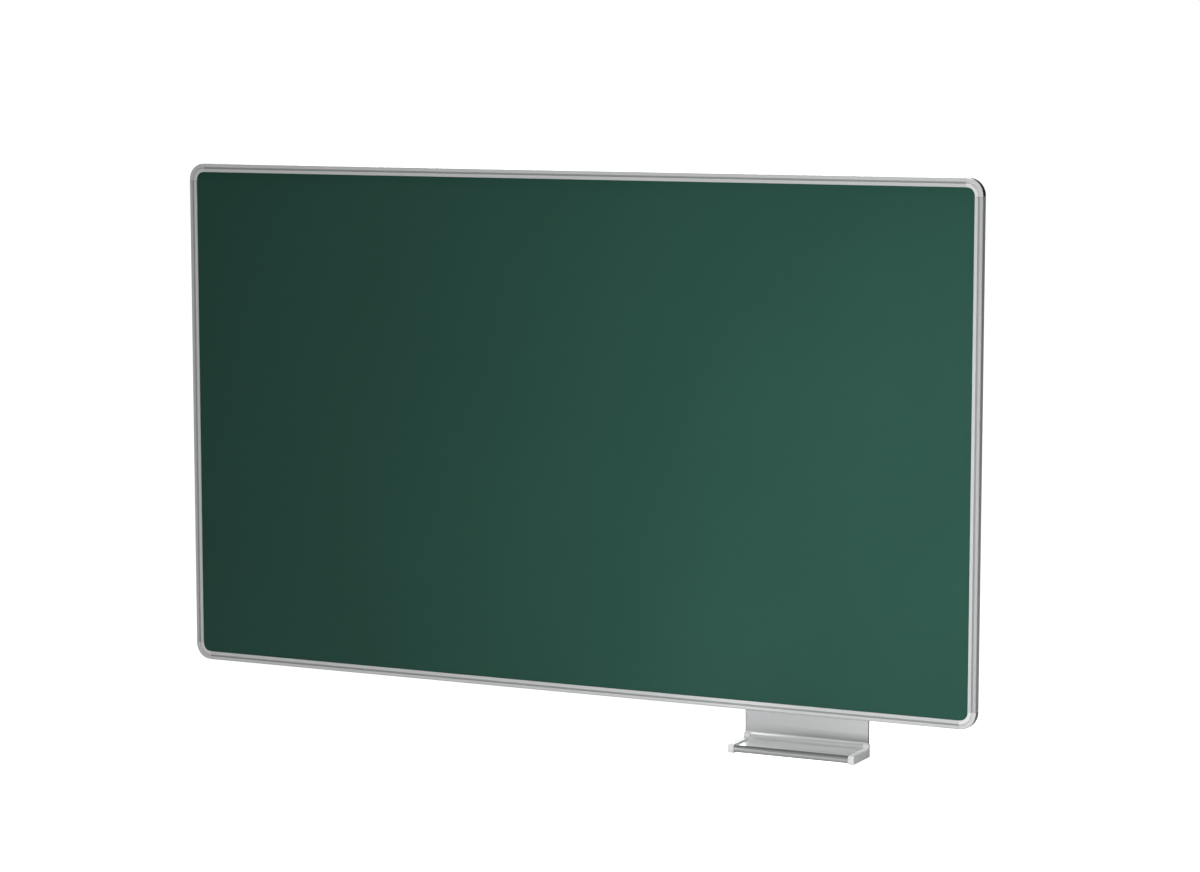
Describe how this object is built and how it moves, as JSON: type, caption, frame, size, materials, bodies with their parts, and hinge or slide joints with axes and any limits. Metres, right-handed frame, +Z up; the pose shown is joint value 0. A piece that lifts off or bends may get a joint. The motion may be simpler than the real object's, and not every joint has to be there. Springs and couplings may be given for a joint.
{
  "type": "wall chalkboard",
  "caption": "Wall-hung chalkboard: enamelled steel writing panel in an aluminium frame with moulded corners, hook-on wall brackets and a sliding chalk tray.",
  "frame": {"origin": "on the wall plane, behind the centre of the board", "axes": "+X to the viewer's right along the board, +Z up, -Y out of the wall towards the viewer"},
  "size_m": [2, 0.0989, 1.2852],
  "materials": {
    "enamel": "satin green vitreous enamel on steel",
    "core": "raw fibre board",
    "galvanised": "galvanised",
    "aluminium": "satin anodised",
    "corner_plastic": "moulded, light grey",
    "cap_plastic": "moulded, white",
    "zinc": "bright zinc plate"
  },
  "bodies": {
    "board": {"writing_sheet": "enamel", "core_board": "core", "backing_sheet": "galvanised", "top_rail": "aluminium", "right_rail": "aluminium", "bottom_rail": "aluminium", "left_rail": "aluminium", "corner_top_left": "corner_plastic", "wall_bracket_top_left": "zinc", "corner_screw_top_left_1": "zinc", "corner_screw_top_left_2": "zinc", "corner_top_right": "corner_plastic", "wall_bracket_top_right": "zinc", "corner_screw_top_right_1": "zinc", "corner_screw_top_right_2": "zinc", "corner_bottom_right": "corner_plastic", "wall_bracket_bottom_right": "zinc", "corner_screw_bottom_right_1": "zinc", "corner_screw_bottom_right_2": "zinc", "corner_bottom_left": "corner_plastic", "wall_bracket_bottom_left": "zinc", "corner_screw_bottom_left_1": "zinc", "corner_screw_bottom_left_2": "zinc"},
    "tray": {"tray_profile": "aluminium", "tray_cap_left": "cap_plastic", "tray_cap_right": "cap_plastic"}
  },
  "joints": [
    {"name": "tray_slide", "type": "slide", "parent": "board", "child": "tray", "axis": [1, 0, 0], "range_m": [-1.325, 0.133]}
  ]
}
